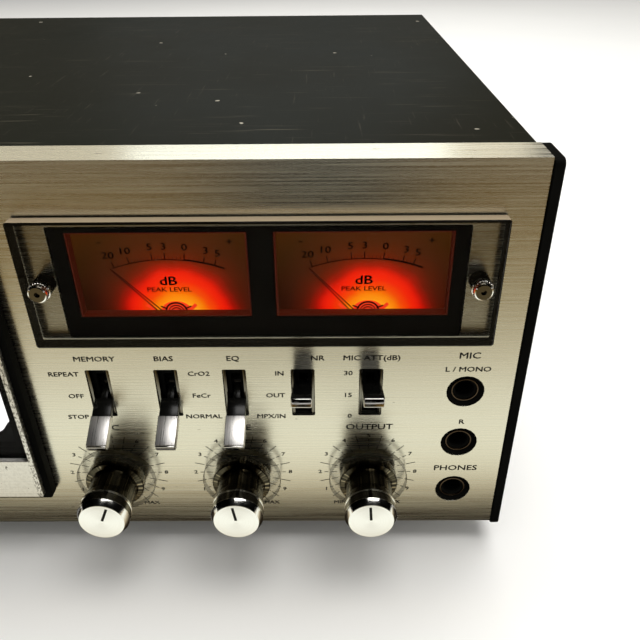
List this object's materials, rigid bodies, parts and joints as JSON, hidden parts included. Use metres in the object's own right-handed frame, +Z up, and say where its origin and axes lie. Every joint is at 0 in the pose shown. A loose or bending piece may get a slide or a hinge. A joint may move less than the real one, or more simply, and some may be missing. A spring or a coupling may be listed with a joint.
{
  "type": "cassette deck",
  "caption": "Front-loading stereo cassette deck with a brushed aluminium front, twin needle meters, lever switches, double level knobs, jacks and a piano-key tape transport.",
  "frame": {"origin": "centre of the bounding box's bottom face, on the surface the feet stand on", "axes": "+X to the right seen from the front, +Y to the back, +Z up"},
  "size_m": [0.44, 0.33, 0.162],
  "materials": {
    "aluminium": "brushed, satin",
    "black_steel": "semi-gloss black enamel, fine scratches",
    "zinc_steel": "zinc plated",
    "chrome": "polished",
    "black_plastic": "matt, moulded",
    "gloss_black": "gloss",
    "rubber": "matt",
    "clear_acrylic": "clear, lightly smoked",
    "dial": "back-lit amber dial in a moulded can",
    "board": "green resin board"
  },
  "bodies": {
    "case": {"front_panel": "aluminium", "top_cover": "black_steel", "rear_panel": "black_steel", "base_chassis": "zinc_steel", "power_transformer": "zinc_steel", "drive_motor": "zinc_steel", "window_screw_left": "chrome", "window_screw_right": "chrome", "end_cap_left": "black_plastic", "end_cap_right": "black_plastic", "meter_surround": "black_plastic", "control_bank": "black_plastic", "cassette_well": "black_plastic", "counter_housing": "black_plastic", "rear_sockets": "black_plastic", "power_inlet": "black_plastic", "mic_jack_left": "black_plastic", "mic_jack_right": "black_plastic", "phones_jack": "black_plastic", "foot_front_left": "rubber", "foot_front_right": "rubber", "foot_rear_left": "rubber", "foot_rear_right": "rubber", "drive_belt": "rubber", "meter_window": "clear_acrylic", "meter_left": "dial", "meter_right": "dial", "main_board": "board"},
    "door": {"door_frame": "black_plastic", "door_face": "aluminium", "door_window": "clear_acrylic", "cassette_holder": "black_plastic"},
    "needle_left": {"meter_needle_left": "black_plastic"},
    "needle_right": {"meter_needle_right": "black_plastic"},
    "left_spindle": {"left_spindle": "black_plastic"},
    "right_spindle": {"right_spindle": "black_plastic"},
    "capstan": {"capstan_flywheel": "zinc_steel"},
    "motor_pulley": {"motor_pulley": "aluminium"},
    "heads": {"head_block": "chrome"},
    "pinch_roller": {"pinch_roller": "rubber"},
    "counter": {"counter_wheels": "black_plastic"},
    "counter_reset": {"counter_reset_button": "chrome"},
    "power_button": {"power_button": "aluminium"},
    "memory_lever": {"memory_lever": "aluminium"},
    "bias_lever": {"bias_lever": "aluminium"},
    "eq_lever": {"eq_lever": "aluminium"},
    "noise_reduction_lever": {"noise_reduction_lever": "aluminium"},
    "mic_attenuator_lever": {"mic_attenuator_lever": "aluminium"},
    "mic_rear_knob": {"mic_rear_knob": "gloss_black"},
    "mic_front_knob": {"mic_front_knob": "aluminium"},
    "line_rear_knob": {"line_rear_knob": "gloss_black"},
    "line_front_knob": {"line_front_knob": "aluminium"},
    "output_rear_knob": {"output_rear_knob": "gloss_black"},
    "output_front_knob": {"output_front_knob": "aluminium"},
    "record_key": {"record_key": "aluminium"},
    "rewind_key": {"rewind_key": "aluminium"},
    "play_key": {"play_key": "aluminium"},
    "fast_forward_key": {"fast_forward_key": "aluminium"},
    "stop_key": {"stop_key": "aluminium"},
    "pause_key": {"pause_key": "aluminium"}
  },
  "joints": [
    {"name": "door_hinge", "type": "hinge", "parent": "case", "child": "door", "pos_m": [-0.0132, -0.1415, 0.031], "axis": [1, 0, 0], "range_deg": [0, 35]},
    {"name": "needle_left_swing", "type": "hinge", "parent": "case", "child": "needle_left", "pos_m": [0.09849, -0.1352, 0.1049], "axis": [0, 1, 0], "range_deg": [0, 84], "stiffness_Nm_per_rad": 0.0001, "springref_deg": -17.19},
    {"name": "needle_right_swing", "type": "hinge", "parent": "case", "child": "needle_right", "pos_m": [0.16275, -0.1352, 0.1049], "axis": [0, 1, 0], "range_deg": [0, 84], "stiffness_Nm_per_rad": 0.0001, "springref_deg": -17.19},
    {"name": "memory_lever_tilt", "type": "hinge", "parent": "case", "child": "memory_lever", "pos_m": [0.0713, -0.131, 0.07735], "axis": [1, 0, 0], "range_deg": [-47, 0]},
    {"name": "bias_lever_tilt", "type": "hinge", "parent": "case", "child": "bias_lever", "pos_m": [0.0951, -0.131, 0.07735], "axis": [1, 0, 0], "range_deg": [-47, 0]},
    {"name": "eq_lever_tilt", "type": "hinge", "parent": "case", "child": "eq_lever", "pos_m": [0.1189, -0.131, 0.07735], "axis": [1, 0, 0], "range_deg": [-47, 0]},
    {"name": "noise_reduction_lever_tilt", "type": "hinge", "parent": "case", "child": "noise_reduction_lever", "pos_m": [0.1427, -0.131, 0.07735], "axis": [1, 0, 0], "range_deg": [0, 47]},
    {"name": "mic_attenuator_lever_tilt", "type": "hinge", "parent": "case", "child": "mic_attenuator_lever", "pos_m": [0.1665, -0.131, 0.07735], "axis": [1, 0, 0], "range_deg": [0, 47]},
    {"name": "mic_rear_knob_turn", "type": "hinge", "parent": "case", "child": "mic_rear_knob", "pos_m": [0.0713, -0.1525, 0.0392], "axis": [0, 1, 0], "range_deg": [-173, 127]},
    {"name": "mic_front_knob_turn", "type": "hinge", "parent": "case", "child": "mic_front_knob", "pos_m": [0.0713, -0.1525, 0.0392], "axis": [0, 1, 0], "range_deg": [-173, 127]},
    {"name": "line_rear_knob_turn", "type": "hinge", "parent": "case", "child": "line_rear_knob", "pos_m": [0.1189, -0.1525, 0.0392], "axis": [0, 1, 0], "range_deg": [-142.2, 157.8]},
    {"name": "line_front_knob_turn", "type": "hinge", "parent": "case", "child": "line_front_knob", "pos_m": [0.1189, -0.1525, 0.0392], "axis": [0, 1, 0], "range_deg": [-142.2, 157.8]},
    {"name": "output_rear_knob_turn", "type": "hinge", "parent": "case", "child": "output_rear_knob", "pos_m": [0.1665, -0.1525, 0.0392], "axis": [0, 1, 0], "range_deg": [-146.3, 153.7]},
    {"name": "output_front_knob_turn", "type": "hinge", "parent": "case", "child": "output_front_knob", "pos_m": [0.1665, -0.1525, 0.0392], "axis": [0, 1, 0], "range_deg": [-146.3, 153.7]},
    {"name": "left_spindle_spin", "type": "hinge", "parent": "case", "child": "left_spindle", "pos_m": [-0.03445, -0.1205, 0.085], "axis": [0, 1, 0], "continuous": true},
    {"name": "right_spindle_spin", "type": "hinge", "parent": "case", "child": "right_spindle", "pos_m": [0.00805, -0.1205, 0.085], "axis": [0, 1, 0], "continuous": true},
    {"name": "capstan_spin", "type": "hinge", "parent": "case", "child": "capstan", "pos_m": [0.0118, -0.0955, 0.056], "axis": [0, 1, 0], "continuous": true},
    {"name": "motor_pulley_spin", "type": "hinge", "parent": "case", "child": "motor_pulley", "pos_m": [-0.0432, -0.0955, 0.056], "axis": [0, 1, 0], "continuous": true},
    {"name": "record_key_press", "type": "hinge", "parent": "case", "child": "record_key", "pos_m": [-0.1942, -0.0945, 0.051], "axis": [1, 0, 0], "range_deg": [0, 6], "stiffness_Nm_per_rad": 0.5, "springref_deg": -5.73},
    {"name": "rewind_key_press", "type": "hinge", "parent": "case", "child": "rewind_key", "pos_m": [-0.1742, -0.0945, 0.051], "axis": [1, 0, 0], "range_deg": [0, 6], "stiffness_Nm_per_rad": 0.5, "springref_deg": -5.73},
    {"name": "play_key_press", "type": "hinge", "parent": "case", "child": "play_key", "pos_m": [-0.1542, -0.0945, 0.051], "axis": [1, 0, 0], "range_deg": [0, 6], "stiffness_Nm_per_rad": 0.5, "springref_deg": -5.73},
    {"name": "fast_forward_key_press", "type": "hinge", "parent": "case", "child": "fast_forward_key", "pos_m": [-0.1342, -0.0945, 0.051], "axis": [1, 0, 0], "range_deg": [0, 6], "stiffness_Nm_per_rad": 0.5, "springref_deg": -5.73},
    {"name": "stop_key_press", "type": "hinge", "parent": "case", "child": "stop_key", "pos_m": [-0.1142, -0.0945, 0.051], "axis": [1, 0, 0], "range_deg": [0, 6], "stiffness_Nm_per_rad": 0.5, "springref_deg": -5.73},
    {"name": "pause_key_press", "type": "hinge", "parent": "case", "child": "pause_key", "pos_m": [-0.0942, -0.0945, 0.051], "axis": [1, 0, 0], "range_deg": [0, 6], "stiffness_Nm_per_rad": 0.5, "springref_deg": -5.73},
    {"name": "head_lift", "type": "slide", "parent": "case", "child": "heads", "axis": [0, 0, 1], "range_m": [0, 0.0066]},
    {"name": "pinch_roller_spin", "type": "hinge", "parent": "heads", "child": "pinch_roller", "pos_m": [0.0118, -0.12925, 0.04155], "axis": [0, 1, 0], "continuous": true},
    {"name": "counter_turn", "type": "hinge", "parent": "case", "child": "counter", "pos_m": [-0.112, -0.1295, 0.126], "axis": [1, 0, 0], "continuous": true},
    {"name": "counter_reset_press", "type": "slide", "parent": "case", "child": "counter_reset", "axis": [0, 1, 0], "range_m": [0, 0.0025], "stiffness_N_per_m": 400, "springref_m": -0.003},
    {"name": "power_button_press", "type": "slide", "parent": "case", "child": "power_button", "axis": [0, 1, 0], "range_m": [0, 0.003], "stiffness_N_per_m": 400, "springref_m": -0.003}
  ],
  "couplings": [
    {"joint": "motor_pulley_spin", "follows": "capstan_spin", "ratio": 4.8462},
    {"joint": "head_lift", "follows": "play_key_press", "m_per_rad": 0.062},
    {"joint": "counter_turn", "follows": "right_spindle_spin", "ratio": 0.07}
  ]
}
